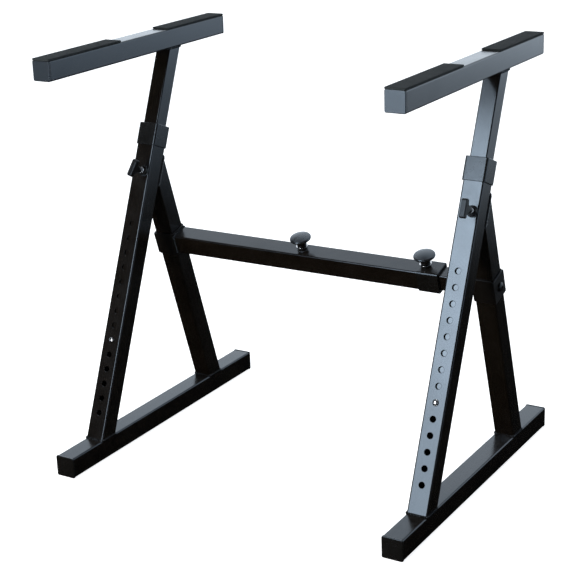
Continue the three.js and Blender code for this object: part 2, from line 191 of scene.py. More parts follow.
def breakUp(group, mask, span, amount, leave, **noise):
    # Thins a mask out with noise and scales it
    place = addNode(group, "ShaderNodeTexCoord").outputs["Object"]
    specks = addNode(group, "ShaderNodeTexNoise", Vector=place, **noise).outputs["Fac"]
    both = maths(group, "MULTIPLY", mask, remap(group, specks, 0, 1, *span))
    feed(group, maths(group, "MULTIPLY", both, amount), leave["Mask"])
    return group


def makeEdgeGroup():
    # A mask that is 1 on worn edges and 0 on flats
    inputs = {"Edge Width": "Float", "Wear": "Float"}
    group, given, leave = newTree("edgeWear", "Shader", inputs, {"Mask": "Float"})
    rounded = addNode(group, "ShaderNodeBevel", samples=4, Radius=given["Edge Width"]).outputs["Normal"]
    flat = addNode(group, "ShaderNodeNewGeometry").outputs["Normal"]
    spread = addNode(group, "ShaderNodeVectorMath", rounded, flat, operation="DOT_PRODUCT").outputs["Value"]
    edge = remap(group, spread, 0, 1, *effects["edgeBend"])
    return breakUp(group, edge, effects["chips"], given["Wear"], leave, Scale=190.0, Detail=3.0)


def makeDustGroup():
    # A thin film that gathers on faces that look up
    group, given, leave = newTree("dustFilm", "Shader", {"Amount": "Float"}, {"Mask": "Float"})
    normal = addNode(group, "ShaderNodeNewGeometry").outputs["Normal"]
    level = addNode(group, "ShaderNodeSeparateXYZ", normal).outputs["Z"]
    film = remap(group, level, 0, 1, *effects["facingUp"])
    return breakUp(group, film, effects["dustPatches"], given["Amount"], leave, Scale=60.0, Detail=8.0,
                   Roughness=0.7)


grainGroup = makeGrainGroup()
edgeGroup = makeEdgeGroup()
dustGroup = makeDustGroup()


def makeMaterial(name, makeInputs):
    # makeInputs adds its nodes to the tree and says what feeds each input of the shader
    material = bpy.data.materials.new(name)
    material.use_nodes = True
    tree = material.node_tree
    for label, value in makeInputs(tree).items():
        feed(tree, value, tree.nodes["Principled BSDF"].inputs[label])
    return material


def makeFinish(name, look):
    # One recipe for every finish of the stand: mottled colour, grain, worn edges and a little dust
    def finishInputs(tree):
        grain = addNode(tree, "ShaderNodeGroup", node_tree=grainGroup, Grain_Size=look["grainSize"],
                        Grain_Height=look["grainHeight"], Ripple_Size=look["rippleSize"],
                        Ripple_Height=look["rippleHeight"]).outputs
        edges = addNode(tree, "ShaderNodeGroup", node_tree=edgeGroup, Edge_Width=look["edgeWidth"],
                        Wear=look["wear"]).outputs["Mask"]
        dust = addNode(tree, "ShaderNodeGroup", node_tree=dustGroup, Amount=look["dust"]).outputs["Mask"]
        mottle = remap(tree, grain["Mottle"], 0, 1, *effects["mottleSpan"])
        worn = mixColor(tree, edges, mixColor(tree, mottle, look["dark"], look["light"]), look["bare"])
        shine = remap(tree, grain["Mottle"], look["smooth"], look["rough"], *effects["mottleSpan"])
        dulled = maths(tree, "ADD", shine, remap(tree, dust, 0, look["dustDulls"]), use_clamp=True)
        return {"Base Color": mixColor(tree, dust, worn, look["dustColor"]), "Roughness": dulled,
                "Normal": grain["Normal"], "Metallic": look["metal"], "IOR": look["ior"],
                "Specular IOR Level": look["gleam"], "Specular Tint": (*look["tint"], 1)}
    return makeMaterial(name, finishInputs)


plainLook = {
    "grainSize": 0.0009, "grainHeight": 0.08, "rippleSize": 0.006, "rippleHeight": 0.03,
    "edgeWidth": 0.0008, "wear": 0.2, "dust": 0.1, "dustDulls": 0.2, "dustColor": (0.2, 0.19, 0.18),
    "dark": (0.0034, 0.0022, 0.0012), "light": (0.006, 0.0041, 0.0024), "bare": (0.05, 0.054, 0.058),
    "smooth": 0.3, "rough": 0.38, "metal": 0.0, "ior": 1.5, "gleam": 0.5, "tint": (0.64, 0.81, 1.0),
}
looks = {
    "coat": {"grainSize": 0.0012, "grainHeight": 0.05, "smooth": 0.18, "rough": 0.24},
    "mastCoat": {"slot": "coat", "grainSize": 0.0012, "grainHeight": 0.05, "smooth": 0.16, "rough": 0.21,
                 "gleam": 0.52},
    "thickCoat": {"slot": "coat", "grainHeight": 0.2, "smooth": 0.42, "rough": 0.55, "gleam": 0.2},
    "bracket": {"grainHeight": 0.15, "smooth": 0.3, "rough": 0.4, "gleam": 0.25},
    "plastic": {"grainSize": 0.0005, "grainHeight": 0.15, "smooth": 0.24, "rough": 0.3, "gleam": 0.42,
                "dark": (0.0036, 0.0029, 0.0021), "light": (0.0058, 0.0048, 0.0036), "wear": 0.1},
    "knob": {"grainSize": 0.0004, "grainHeight": 0.2, "smooth": 0.24, "rough": 0.3, "wear": 0.1,
             "gleam": 0.85},
    "grip": {"slot": "knob", "grainSize": 0.0004, "grainHeight": 0.3, "smooth": 0.34, "rough": 0.42,
             "wear": 0.1, "gleam": 0.34},
    "chrome": {"metal": 1.0, "smooth": 0.08, "rough": 0.14, "dark": (0.46, 0.47, 0.49),
               "light": (0.54, 0.55, 0.57), "bare": (0.8, 0.8, 0.8), "grainHeight": 0.05, "dust": 0.05,
               "tint": (1.0, 1.0, 1.0)},
    "steel": {"metal": 1.0, "smooth": 0.3, "rough": 0.42, "dark": (0.33, 0.34, 0.36),
              "light": (0.43, 0.44, 0.45), "bare": (0.55, 0.55, 0.55), "grainHeight": 0.1,
              "tint": (1.0, 1.0, 1.0)},
    "pad": {"grainSize": 0.0011, "grainHeight": 0.9, "rippleSize": 0.012, "rippleHeight": 0.25,
            "smooth": 0.82, "rough": 0.95, "dark": (0.017, 0.02, 0.021), "light": (0.028, 0.032, 0.033),
            "wear": 0.1, "bare": (0.05, 0.052, 0.052), "gleam": 0.1},
}
finishes = {name: makeFinish(name + "Finish", {**plainLook, **look}) for name, look in looks.items()}
print("finishes made")


# Mesh helpers

def addObject(name, data):
    thing = bpy.data.objects.new(name, data)
    bpy.context.scene.collection.objects.link(thing)
    return thing


def makeObject(name, shape, space=Matrix.Identity(4)):
    bmesh.ops.remove_doubles(shape, verts=shape.verts, dist=1e-6)
    bmesh.ops.recalc_face_normals(shape, faces=shape.faces)
    shape.transform(space)
    mesh = bpy.data.meshes.new(name)
    shape.to_mesh(mesh)
    shape.free()
    return addObject(name, mesh)


def settle(piece):
    # Turns the piece's modifiers into plain mesh
    graph = bpy.context.evaluated_depsgraph_get()
    shown = piece.evaluated_get(graph)
    mesh = bpy.data.meshes.new_from_object(shown, preserve_all_data_layers=True, depsgraph=graph)
    piece.modifiers.clear()
    piece.data = mesh


def addBevel(piece, width, segments=3, angle=35):
    bevel = piece.modifiers.new("softEdge", "BEVEL")
    bevel.width = width
    bevel.segments = segments
    bevel.limit_method = "ANGLE"
    bevel.angle_limit = math.radians(angle)


def combine(piece, others, operation="DIFFERENCE"):
    # Cuts the others out of the piece, or fuses them with it
    for other in others:
        change = piece.modifiers.new("combine", "BOOLEAN")
        change.operation = operation
        change.solver = "EXACT"
        change.object = other
    settle(piece)
    for other in others:
        bpy.data.objects.remove(other)


def addMesh(piece, other):
    shape = bmesh.new()
    shape.from_mesh(piece.data)
    shape.from_mesh(other.data)
    bpy.data.objects.remove(other)
    shape.to_mesh(piece.data)
    shape.free()


def finishPiece(piece, finish, body, *nodes, sharp=32):
    weighted = piece.modifiers.new("evenShade", "WEIGHTED_NORMAL")
    weighted.keep_sharp = True
    piece.data.polygons.foreach_set("use_smooth", [True] * len(piece.data.polygons))
    piece.data.set_sharp_from_angle(angle=math.radians(sharp))
    settle(piece)
    piece.data.materials.clear()
    piece.data.materials.append(finishes[finish])
    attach(piece, body)
    if nodes:
        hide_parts(*nodes)


def around(count):
    # Each index of a closed ring with the next one
    return [(i, (i + 1) % count) for i in range(count)]


def onCircle(radius, angle):
    return radius * math.cos(angle), radius * math.sin(angle)


def arcPoints(center, radius, start, end, steps=5):
    points = []
    for step in range(steps + 1):
        x, y = onCircle(radius, math.radians(start + (end - start) * step / steps))
        points.append((center[0] + x, center[1] + y))
    return points


def plateLoop(width, length, corner, steps=8):
    x, y = width / 2 - corner, length / 2 - corner
    loop = []
    for turn, (cx, cy) in enumerate(((x, y), (-x, y), (-x, -y), (x, -y))):
        for step in range(steps + 1):
            dx, dy = onCircle(corner, (turn + step / steps) * math.pi / 2)
            loop.append((cx + dx, cy + dy))
    return loop


def squareLoop(side, corner, steps=8):
    return plateLoop(side, side, corner, steps)


def alongTo(space, u, v, point, normal):
    # How far along the space's Z axis the line through (u, v) meets a plane
    start = space @ Vector((u, v, 0))
    ahead = space.to_3x3() @ up
    return (point - start).dot(normal) / ahead.dot(normal)


def tubeBetween(space, side, corner, low, high):
    # A square tube whose ends are cut by two planes, each given as (point, normal) or a distance
    shape = bmesh.new()
    wall = stand["tubeWall"]
    rings = []
    for loop in (squareLoop(side, corner), squareLoop(side - 2 * wall, corner - wall)):
        for end in (low, high):
            ring = []
            for u, v in loop:
                w = end if isinstance(end, float) else alongTo(space, u, v, *end)
                ring.append(shape.verts.new((u, v, w)))
            rings.append(ring)
    outLow, outHigh, inLow, inHigh = rings
    for i, j in around(len(outLow)):
        shape.faces.new((outLow[i], outLow[j], outHigh[j], outHigh[i]))
        shape.faces.new((inLow[j], inLow[i], inHigh[i], inHigh[j]))
        shape.faces.new((outHigh[i], outHigh[j], inHigh[j], inHigh[i]))
        shape.faces.new((outLow[j], outLow[i], inLow[i], inLow[j]))
    return shape


def stacked(layers):
    # A closed body over rings of points, one above the other
    shape = bmesh.new()
    rings = [[shape.verts.new(point) for point in layer] for layer in layers]
    for lower, upper in zip(rings, rings[1:]):
        for i, j in around(len(lower)):
            shape.faces.new((lower[i], lower[j], upper[j], upper[i]))
    shape.faces.new(rings[0])
    shape.faces.new(rings[-1])
    return shape


def raised(loop, low, high, hole=None):
    # An outline raised from low to high, open where a hole is given
    if not hole:
        return stacked([[(x, y, z) for x, y in loop] for z in (low, high)])
    shape = bmesh.new()
    ends = {low: [], high: []}
    for points in (loop, hole):
        bottom, top = ([shape.verts.new((x, y, z)) for x, y in points] for z in ends)
        for i, j in around(len(points)):
            shape.faces.new((bottom[i], bottom[j], top[j], top[i]))
        for ring, edges in ((bottom, ends[low]), (top, ends[high])):
            edges += [shape.edges.get((ring[i], ring[j])) for i, j in around(len(points))]
    for edges in ends.values():
        bmesh.ops.triangle_fill(shape, use_beauty=True, use_dissolve=False, edges=edges)
    return shape


def turned(profile, steps=48):
    # A profile of (radius, height) spun about Z, closed on the axis or on itself
    shape = bmesh.new()
    rings = []
    for radius, height in profile:
        angles = [2 * math.pi * step / steps for step in range(steps if radius else 1)]
        rings.append([shape.verts.new((*onCircle(radius, angle), height)) for angle in angles])
    for lower, upper in zip(rings, rings[1:]):
        low, high = len(lower), len(upper)
        for i, j in around(steps):
            corners = dict.fromkeys((lower[i % low], lower[j % low], upper[j % high], upper[i % high]))
            if len(corners) > 2:
                shape.faces.new(list(corners))
    return shape


def rod(name, radius, low, high, space=Matrix.Identity(4), steps=40):
    return makeObject(name, turned([(0, low), (radius, low), (radius, high), (0, high)], steps), space)


# Geometry Nodes trees share their start and their end

def newGrower(name, **inputs):
    return newTree(name, "Geometry", {"Geometry": "Geometry", **inputs}, {"Geometry": "Geometry"})


def endGrower(tree, geometry, coating, leave):
    real = addNode(tree, "GeometryNodeRealizeInstances", geometry)
    paint = addNode(tree, "GeometryNodeSetMaterial", Geometry=real.outputs[0], Material=coating)
    feed(tree, paint.outputs[0], leave["Geometry"])
    return tree


def growWith(piece, tree, values):
    modifier = piece.modifiers.new(tree.name, "NODES")
    modifier.node_group = tree
    for item in tree.interface.items_tree:
        if item.in_out == "INPUT" and item.name in values:
            modifier[item.identifier] = values[item.name]
    settle(piece)


# Weld beads: a tree that runs a rippled bead along a closed seam

weld = {"bead": 0.0021, "nutBead": 0.0012, "ripple": 0.16, "pitch": 0.0017, "unevenness": 0.00022,
        "stepShare": 0.3, "ringPoints": 12, "lumpScale": 260.0}


def makeWeldTree():
    tree, given, leave = newGrower("weldBead", Bead="Float", Ripple="Float", Pitch="Float",
                                   Unevenness="Float", Coating="Material")
    seam = addNode(tree, "GeometryNodeMeshToCurve", given["Geometry"])
    spaced = addNode(tree, "GeometryNodeResampleCurve", mode="LENGTH", Curve=seam.outputs[0],
                     Length=maths(tree, "MULTIPLY", given["Pitch"], weld["stepShare"]))
    along = addNode(tree, "GeometryNodeSplineParameter").outputs["Length"]
    phase = maths(tree, "MULTIPLY", maths(tree, "DIVIDE", along, given["Pitch"]), 2 * math.pi)
    swell = maths(tree, "MULTIPLY_ADD", maths(tree, "SINE", phase), given["Ripple"], 1)
    ring = addNode(tree, "GeometryNodeCurvePrimitiveCircle", Resolution=weld["ringPoints"], Radius=1)
    bead = addNode(tree, "GeometryNodeCurveToMesh", spaced.outputs[0], ring.outputs[0],
                   Scale=maths(tree, "MULTIPLY", swell, given["Bead"]))
    lumps = addNode(tree, "ShaderNodeTexNoise", Scale=weld["lumpScale"], Detail=2.0).outputs["Color"]
    centred = addNode(tree, "ShaderNodeVectorMath", lumps, (0.5, 0.5, 0.5), operation="SUBTRACT")
    shift = addNode(tree, "ShaderNodeVectorMath", centred.outputs[0], operation="SCALE",
                    Scale=given["Unevenness"])
    uneven = addNode(tree, "GeometryNodeSetPosition", bead.outputs[0], Offset=shift.outputs[0])
    return endGrower(tree, uneven.outputs[0], given["Coating"], leave)


weldTree = makeWeldTree()


def weldAlong(name, points, body, bead=weld["bead"]):
    # points run once round the seam, in the CAD frame
    shape = bmesh.new()
    verts = [shape.verts.new(point) for point in points]
    for i, j in around(len(verts)):
        shape.edges.new((verts[i], verts[j]))
    piece = makeObject(name, shape)
    values = {"Bead": bead, "Ripple": weld["ripple"], "Pitch": weld["pitch"],
              "Unevenness": weld["unevenness"], "Coating": finishes["coat"]}
    growWith(piece, weldTree, values)
    finishPiece(piece, "coat", body, sharp=60)


def weldOnPlane(name, space, side, corner, plane, body):
    loop = squareLoop(side, corner, steps=4)
    weldAlong(name, [space @ Vector((u, v, alongTo(space, u, v, *plane))) for u, v in loop], body)


# Height holes: a tree that punches a row of round holes

holes = {"count": 14, "top": 0.3641, "pitch": 0.025, "radius": 0.00475, "flare": 0.0006, "points": 32}


def makeHoleTree():
    tree, given, leave = newGrower("holeRow", Count="Int", First="Vector", Step="Vector", Tilt="Float",
                                   Radius="Float", Depth="Float", Flare="Float", Coating="Material")
    row = addNode(tree, "GeometryNodeMeshLine", given["Count"], mode="OFFSET", Start_Location=given["First"],
                  Offset=given["Step"])
    tilt = addNode(tree, "ShaderNodeCombineXYZ", given["Tilt"])
    punch = addNode(tree, "GeometryNodeMeshCylinder", holes["points"], Radius=given["Radius"],
                    Depth=given["Depth"])
    # Each hole's rim is pressed in a little: a shallow cone that starts one flare below the surface
    double = maths(tree, "MULTIPLY", given["Flare"], 2)
    cone = addNode(tree, "GeometryNodeMeshCone", holes["points"], Depth=double,
                   Radius_Top=maths(tree, "ADD", given["Radius"], double), Radius_Bottom=given["Radius"])
    drop = addNode(tree, "ShaderNodeCombineXYZ", Z=maths(tree, "MULTIPLY", given["Flare"], -1))
    rim = addNode(tree, "GeometryNodeTransform", cone.outputs[0], Translation=drop.outputs[0])
    cut = addNode(tree, "GeometryNodeMeshBoolean", given["Geometry"], operation="DIFFERENCE", solver="EXACT")
    for tool in (punch, rim):
        copies = addNode(tree, "GeometryNodeInstanceOnPoints", row.outputs[0], Instance=tool.outputs[0],
                         Rotation=tilt.outputs[0])
        real = addNode(tree, "GeometryNodeRealizeInstances", copies.outputs[0])
        feed(tree, real.outputs[0], cut.inputs[1])
    return endGrower(tree, cut.outputs[0], given["Coating"], leave)


holeTree = makeHoleTree()


# Feet and arms: level tubes with square plugs in their ends

plug = {"edge": 0.0011, "insert": 0.014, "wall": 0.0018, "play": 0.0002, "corner": 0.0009, "sunk": 0.0004}


def plugCap(name, space, side, tubeSide, body, node):
    flange = stand["capFlange"]
    cap = makeObject(name, raised(squareLoop(side, stand["tubeCorner"]), 0, flange))
    addBevel(cap, plug["edge"], segments=4)
    settle(cap)
    bore = tubeSide - 2 * stand["tubeWall"] - 2 * plug["play"]
    outer = squareLoop(bore, stand["tubeCorner"] - stand["tubeWall"])
    inner = squareLoop(bore - 2 * plug["wall"], plug["corner"])
    insert = raised(outer, flange - plug["sunk"], flange + plug["insert"], inner)
    addMesh(cap, makeObject("insert", insert))
    cap.data.transform(space)
    finishPiece(cap, "plastic", body, node)


def buildLevelTube(side, part, body, z, start, end, tubeSide, capSide):
    x, name, node = sides[side] * stand["frameX"], side + part.title(), f"{side}_{part}"
    space = moveBy(x, start + stand["capFlange"], z) @ turnAbout("X", -quarter)
    length = end - start - 2 * stand["capFlange"]
    shape = tubeBetween(space, tubeSide, stand["tubeCorner"], 0.0, length)
    finishPiece(makeObject(name + "Tube", shape, space), "coat", body, node + "_tube")
    for label, y, turn in (("front", start, -1), ("rear", end, 1)):
        place = moveBy(x, y, z) @ turnAbout("X", turn * quarter)
        plugCap(f"{name}Cap{label.title()}", place, capSide, tubeSide, body, f"{node}_cap_{label}")


def buildFoot(side):
    end, capSide = stand["footLength"] / 2, stand["footCapSide"]
    buildLevelTube(side, "foot", side + "_frame", capSide / 2, -end, end, stand["tubeSide"], capSide)


def buildArm(side):
    wide = stand["armSide"]
    middle = stand["armUnder"] + wide / 2
    buildLevelTube(side, "arm", side + "_mast", middle, stand["armFront"], stand["armRear"], wide, wide)


# Pads: thin foam strips with a pressed edge and a slightly crowned top

pad = {"thickness": 0.003, "width": 0.0324, "corner": 0.0015, "leastCorner": 0.0002, "glue": 0.0001,
       "crown": 0.00025, "crownInsets": (0.003, 0.006, 0.01, 0.0155), "edge": 0.0009, "frontLength": 0.185,
       "rearLength": 0.17}


def buildPads(side):
    x, low = sides[side] * stand["frameX"], stand["armUnder"] + stand["armSide"] + pad["glue"]
    spans = {"front": (stand["armFront"], stand["armFront"] + pad["frontLength"]),
             "rear": (stand["armRear"] - pad["rearLength"], stand["armRear"])}
    for label, (start, end) in spans.items():
        shape = padShape(pad["width"], end - start)
        piece = makeObject(f"{side}Pad{label.title()}", shape, moveBy(x, (start + end) / 2, low))
        finishPiece(piece, "pad", side + "_mast", f"{side}_arm_pad_{label}", sharp=50)


def padShape(width, length):
    # Rings from the glued underside over the rounded rim to the crowned middle
    rim, top, insets = pad["edge"], pad["thickness"] - pad["crown"], pad["crownInsets"]
    rings = [(0.0, 0.0), (0.0, top - rim)]
    for step in range(1, 6):
        angle = step / 5 * quarter
        rings.append((rim * (1 - math.cos(angle)), top - rim + rim * math.sin(angle)))
    for inset in insets:
        rings.append((inset, top + pad["crown"] * math.sin(inset / insets[-1] * quarter)))
    layers = []
    for inset, height in rings:
        corner = max(pad["corner"] - inset, pad["leastCorner"])
        loop = plateLoop(width - 2 * inset, length - 2 * inset, corner, steps=5)
        layers.append([(x, y, height) for x, y in loop])
    return stacked(layers)


# Uprights, braces and masts

weldGap = 0.0003
footPlane = (Vector((0, 0, stand["footTop"] + weldGap)), up)
armPlane = (Vector((0, 0, stand["armUnder"] - weldGap)), up)
mast = {"low": 0.1538, "buttonAt": 0.1641, "overrun": 0.005}


def uprightBackPlane(side):
    space = uprightSpace(side)
    return space @ Vector((0, half + weldGap, 0)), space.to_3x3() @ Vector((0, 1, 0))


def buildUpright(side):
    space, body = uprightSpace(side), side + "_frame"
    tube = makeObject(side + "UprightTube", tubeBetween(space, *frameTube, footPlane, stand["uprightLength"]),
                      space)
    step = space.to_3x3() @ Vector((0, 0, -holes["pitch"]))
    values = {"Count": holes["count"], "First": space @ Vector((0, -half, holes["top"])), "Step": step,
              "Tilt": quarter - stand["uprightLean"], "Radius": holes["radius"],
              "Depth": 2 * stand["overrun"], "Flare": holes["flare"], "Coating": finishes["coat"]}
    growWith(tube, holeTree, values)
    combine(tube, [rod("way", stand["screwHole"], -stand["overrun"], stand["overrun"], clampSpace(side))])
    finishPiece(tube, "coat", body, side + "_upright_tube")
    weldOnPlane(side + "UprightWeld", space, *frameTube, footPlane, body)


def buildBrace(side):
    space, body, back = braceSpace(side), side + "_frame", uprightBackPlane(side)
    tube = makeObject(side + "BraceTube", tubeBetween(space, *frameTube, footPlane, back), space)
    reach = half + stand["overrun"]
    way = bracketSpace(side) @ turnAbout("Y", quarter)
    combine(tube, [rod("way", stand["screwHole"], -reach, reach, way)])
    finishPiece(tube, "coat", body, side + "_brace_tube")
    weldOnPlane(side + "BraceFootWeld", space, *frameTube, footPlane, body)
    weldOnPlane(side + "BraceTopWeld", space, *frameTube, back, body)


def buildMast(side):
    space, body = uprightSpace(side), side + "_mast"
    tube = makeObject(side + "PostTube", tubeBetween(space, *mastTube, mast["low"], armPlane), space)
    way = space @ moveBy(0, -stand["mastSide"] / 2, mast["buttonAt"]) @ turnAbout("X", quarter)
    combine(tube, [rod("way", holes["radius"], -mast["overrun"], mast["overrun"], way)])
    finishPiece(tube, "mastCoat", body, side + "_post_tube")
    weldOnPlane(side + "PostWeld", space, *mastTube, armPlane, body)


# Collars at the mouths of the uprights and of the crossbar's outer tube

collar = {"side": 0.0382, "corner": 0.0038, "length": 0.0373, "lip": 0.003, "play": 0.0002,
          "roofGap": 0.0003, "liner": 0.031, "linerLength": 0.022, "edge": 0.0009, "barLiner": 0.014,
          "notch": 0.00835, "overrun": 0.005}


def mouthCollar(name, linerLength):
    # A sleeve over a tube's mouth with a lip over its rim and a thin liner inside it, standing on Z = 0
    outer = squareLoop(collar["side"], collar["corner"])
    bore = squareLoop(stand["mastSide"] + 2 * collar["play"], stand["mastCorner"])
    piece = makeObject(name, raised(outer, 0, collar["length"], bore))
    addBevel(piece, collar["edge"], segments=4)
    settle(piece)
    roof = collar["length"] - collar["lip"] + collar["roofGap"]
    slot = squareLoop(stand["tubeSide"] + 2 * collar["play"], stand["tubeCorner"])
    liner = squareLoop(collar["liner"], stand["tubeCorner"] - stand["tubeWall"])
    besideLiner = raised(slot, -collar["overrun"], roof, liner)
    belowLiner = raised(slot, -collar["overrun"], roof - linerLength)
    combine(piece, [makeObject("cut", besideLiner), makeObject("cut", belowLiner)])
    return piece


def buildCollar(side):
    low = stand["uprightLength"] + collar["lip"] - collar["length"]
    piece = mouthCollar(side + "Collar", collar["linerLength"])
    piece.data.transform(uprightSpace(side) @ moveBy(0, 0, low))
    finishPiece(piece, "plastic", side + "_frame", side + "_upright_collar")


def buildBarCollar():
    # The crossbar's collar has a notch that lets it slide on past the end lock's nut
    low = stand["outerTubeEnd"] + collar["lip"] - collar["length"]
    piece = mouthCollar("crossbarCollar", collar["barLiner"])
    piece.data.transform(moveBy(low, 0, 0) @ turnAbout("Y", quarter))
    x, wide = lock["places"]["end"], collar["notch"]
    outline = arcPoints((x, 0), wide, -90, 90, 24) + [(low - wide, wide), (low - wide, -wide)]
    combine(piece, [makeObject("cut", raised(outline, half, half + stand["overrun"]))])
    piece.data.transform(barSpace())
    finishPiece(piece, "plastic", "left_frame", "crossbar_bushing")


# Screws with a visible thread, and the nuts they turn in

thread = {"radius": 0.00395, "depth": 0.0006, "pitch": 0.00125, "steps": 32, "perTurn": 6, "bore": 0.00415}
nut = {"gap": 0.0003, "edge": 0.0006, "seamPoints": 36}


def threadedRod(low, high):
    # A helical ridge that winds round the rod, with flat ends
    count = int(round((high - low) / (thread["pitch"] / thread["perTurn"])))
    layers = []
    for level in range(count + 1):
        height = low + (high - low) * level / count
        layer = []
        for step in range(thread["steps"]):
            turn = step / thread["steps"]
            phase = (height / thread["pitch"] - turn) % 1
            radius = thread["radius"] - thread["depth"] * abs(2 * phase - 1)
            layer.append((*onCircle(radius, 2 * math.pi * turn), height))
        layers.append(layer)
    return stacked(layers)


def weldedNut(name, radius, height, space, body, node):
    low, high, bore, edge = nut["gap"], height + nut["gap"], thread["bore"], nut["edge"]
    profile = [(bore, low), (radius, low), (radius, high - edge)]
    profile += arcPoints((radius - edge, high - edge), edge, 15, 90, 4)
    profile += [(bore + edge / 2, high), (bore, high - edge / 2), (bore, low)]
    finishPiece(makeObject(name, turned(profile), space), "thickCoat", body, node)
    angles = [2 * math.pi * step / nut["seamPoints"] for step in range(nut["seamPoints"])]
    seam = [space @ Vector((*onCircle(radius, angle), low)) for angle in angles]
    weldAlong(name + "Weld", seam, body, weld["nutBead"])


# Height clamps

clamp = {"along": 0.4556, "aside": 0.007, "leftTurn": math.radians(-15), "bossRadius": 0.0082,
         "bossHeight": 0.0067, "flangeBore": 0.003, "flangeRadius": 0.0056, "flangeLow": 0.0084,
         "flangeHigh": 0.0115, "flangeEdge": 0.0005, "flangeCrown": 0.0014, "tip": -0.00275,
         "inKnob": 0.012, "socketGap": 0.0003}
grip = {"hubLow": 0.014, "hubHigh": 0.028, "hubRadius": 0.0056, "hubEdge": 0.0008, "neck": 0.005,
        "barLength": 0.03, "barWidth": 0.01, "barHeight": 0.009, "barEdge": 0.0017, "barCorner": 0.0036,
        "heelCorner": 0.0028, "stemTop": 0.021, "root": 0.003, "taper": 0.002, "overlap": 0.001}


def buildClamp(side):
    space, body = clampSpace(side), side + "_clamp"
    weldedNut(side + "ClampBoss", clamp["bossRadius"], clamp["bossHeight"], space, side + "_frame",
              side + "_clamp_boss")
    screw = makeObject(side + "ClampScrew", threadedRod(clamp["tip"], grip["hubLow"] + clamp["inKnob"]))
    bore, wide, edge = clamp["flangeBore"], clamp["flangeRadius"], clamp["flangeEdge"]
    low, high, crown = clamp["flangeLow"], clamp["flangeHigh"], clamp["flangeCrown"]
    flange = [(bore, low), (wide - edge, low)]
    flange += arcPoints((wide - edge, low + edge), edge, -60, 0, 3)
    flange += arcPoints((wide - crown, high - crown), crown, 0, 90, 8) + [(bore, high), (bore, low)]
    addMesh(screw, makeObject("flange", turned(flange)))
    screw.data.transform(space)
    finishPiece(screw, "chrome", body, side + "_clamp_screw")
    bar = clampGrip(side + "ClampGrip")
    bar.data.transform(space @ turnAbout("Z", clamp["leftTurn"] if side == "left" else 0))
    finishPiece(bar, "grip", body, side + "_clamp_grip", sharp=40)


def clampGrip(name):
    # A bar whose inner side sweeps down into the round hub that holds the screw
    low, high, reach = grip["hubHigh"], grip["hubHigh"] + grip["barHeight"], grip["barLength"] / 2
    corner, heel, neck, stemTop = grip["barCorner"], grip["heelCorner"], grip["neck"], grip["stemTop"]
    inset, wide = reach - heel, grip["barWidth"] / 2
    rightSide = [(neck, stemTop - grip["root"])]
    for step in range(13):
        angle = (1 - step / 12) * quarter
        y = inset - (inset - neck) * math.sin(angle)
        rightSide.append((y, stemTop + (low - stemTop) * math.cos(angle)))
    rightSide += arcPoints((inset, low + heel), heel, -75, 0, 6)
    rightSide += arcPoints((reach - corner, high - corner), corner, 0, 90, 8)
    loop = rightSide + [(-y, z) for y, z in reversed(rightSide)]
    acrossBar = Matrix(((0, 0, 1, 0), (1, 0, 0, 0), (0, 1, 0, 0), (0, 0, 0, 1)))
    bar = makeObject(name, raised(loop, -wide, wide), acrossBar)
    addBevel(bar, grip["barEdge"], segments=5, angle=50)
    settle(bar)
    hubLow, radius, edge = grip["hubLow"], grip["hubRadius"], grip["hubEdge"]
    profile = [(0, hubLow), (radius - edge, hubLow)]
    profile += arcPoints((radius - edge, hubLow + edge), edge, -60, 0, 3)
    profile += [(radius, stemTop - grip["taper"]), (neck, stemTop + grip["overlap"]),
                (0, stemTop + grip["overlap"])]
    combine(bar, [makeObject("hub", turned(profile))], "UNION")
    top = hubLow + clamp["inKnob"] + clamp["socketGap"]
    combine(bar, [rod("socket", thread["bore"], hubLow - grip["overlap"], top)])
    return bar


# Snap buttons

button = {"radius": 0.0043, "base": 0.006, "inside": 0.01245, "baseThickness": 0.0015, "crown": 0.0204,
          "dome": 0.002}


def buildButton(side):
    space = uprightSpace(side) @ moveBy(0, 0, mast["buttonAt"]) @ turnAbout("X", quarter)
    radius, base, inside, crown = button["radius"], button["base"], button["inside"], button["crown"]
    low, dome = inside - button["baseThickness"], button["dome"]
    profile = [(0, low), (base, low), (base, inside), (radius, inside), (radius, crown - dome)]
    for step in range(1, 9):
        angle = step / 8 * quarter
        profile.append((radius * math.cos(angle), crown - dome * (1 - math.sin(angle))))
    profile[-1] = (0, crown)
    piece = makeObject(side + "SnapButton", turned(profile), space)
    finishPiece(piece, "chrome", side + "_button", side + "_snap_button")


# Folded leaf springs behind the buttons, built in their rest shape; the real springs flatten as the buttons
# go in

spring = {"front": 0.01075, "back": 0.01245, "low": -0.006, "high": 0.042, "bend": 0.003, "gauge": 0.0008,
          "width": 0.01, "edge": 0.00015, "travel": 0.0055}


def buildSpring(side):
    space = uprightSpace(side) @ moveBy(0, 0, mast["buttonAt"])
    front, back, low, high = spring["front"], spring["back"], spring["low"], spring["high"]
    bend, gauge, reach = spring["bend"], spring["gauge"], spring["width"] / 2
    loop = [(-front, low)] + arcPoints((0, high), bend, 180, 0, 16) + [(back, low), (back - gauge, low)]
    loop += arcPoints((0, high), bend - gauge, 0, 180, 16) + [(gauge - front, low)]
    turn = turnAbout("Z", quarter) @ turnAbout("X", quarter)
    strip = makeObject(side + "SnapSpring", raised(loop, -reach, reach), space @ turn)
    addBevel(strip, spring["edge"], segments=1, angle=50)
    finishPiece(strip, "steel", side + "_mast", side + "_snap_spring")
    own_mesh(strip)


# Brackets between crossbar and braces

bracket = {"height": 0.042, "plate": 0.0025, "gap": 0.0003, "corner": 0.003, "headRadius": 0.0075,
           "headHeight": 0.0042, "headRim": 0.0014, "socket": 0.0029, "socketDepth": 0.0024, "past": 0.012,
           "edge": 0.0006, "play": 0.0002, "bead": {"left": 0.0021, "right": 0.0014},
           "beadSunk": {"left": 0.0, "right": 0.0007}}


